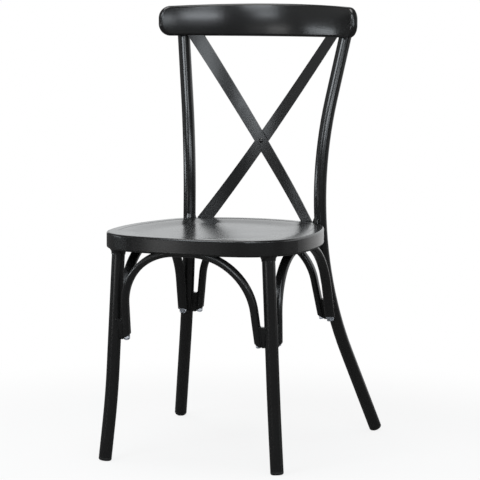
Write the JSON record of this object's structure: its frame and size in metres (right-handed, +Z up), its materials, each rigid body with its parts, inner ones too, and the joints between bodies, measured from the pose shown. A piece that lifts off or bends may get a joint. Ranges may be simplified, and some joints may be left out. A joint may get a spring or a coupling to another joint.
{
  "type": "side chair",
  "caption": "Armless steel side chair with a pressed seat pan, a crossed-strap back under a bowed crest rail, and arches of flat-oval tube between its legs.",
  "frame": {"origin": "on the floor, under the centre of the chair's bounding box", "axes": "+Z up; the front of the chair faces -Y; +X is to the right of a person who looks at the front"},
  "size_m": [0.4628, 0.5468, 0.883],
  "materials": {
    "black_powder_coat": "satin",
    "black_glide": "matte",
    "clear_bumper": "gloss"
  },
  "bodies": {
    "root": {"seat_pan": "black_powder_coat", "back_post_left": "black_powder_coat", "back_post_right": "black_powder_coat", "front_leg_left": "black_powder_coat", "front_leg_right": "black_powder_coat", "leg_collar_left": "black_powder_coat", "leg_collar_right": "black_powder_coat", "post_weld_left": "black_powder_coat", "post_weld_right": "black_powder_coat", "crest_rail": "black_powder_coat", "strap_front": "black_powder_coat", "strap_rear": "black_powder_coat", "strap_rivet": "black_powder_coat", "front_arch": "black_powder_coat", "rear_arch": "black_powder_coat", "side_arch_left": "black_powder_coat", "side_arch_right": "black_powder_coat", "front_arch_lugs": "black_powder_coat", "rear_arch_lugs": "black_powder_coat", "side_arch_lugs_left": "black_powder_coat", "side_arch_lugs_right": "black_powder_coat", "front_glide_left": "black_glide", "front_glide_right": "black_glide", "rear_glide_left": "black_glide", "rear_glide_right": "black_glide", "post_cap_left": "black_glide", "post_cap_right": "black_glide", "front_arch_bumpers": "clear_bumper", "rear_arch_bumpers": "clear_bumper", "side_arch_bumpers_left": "clear_bumper", "side_arch_bumpers_right": "clear_bumper"}
  },
  "joints": []
}
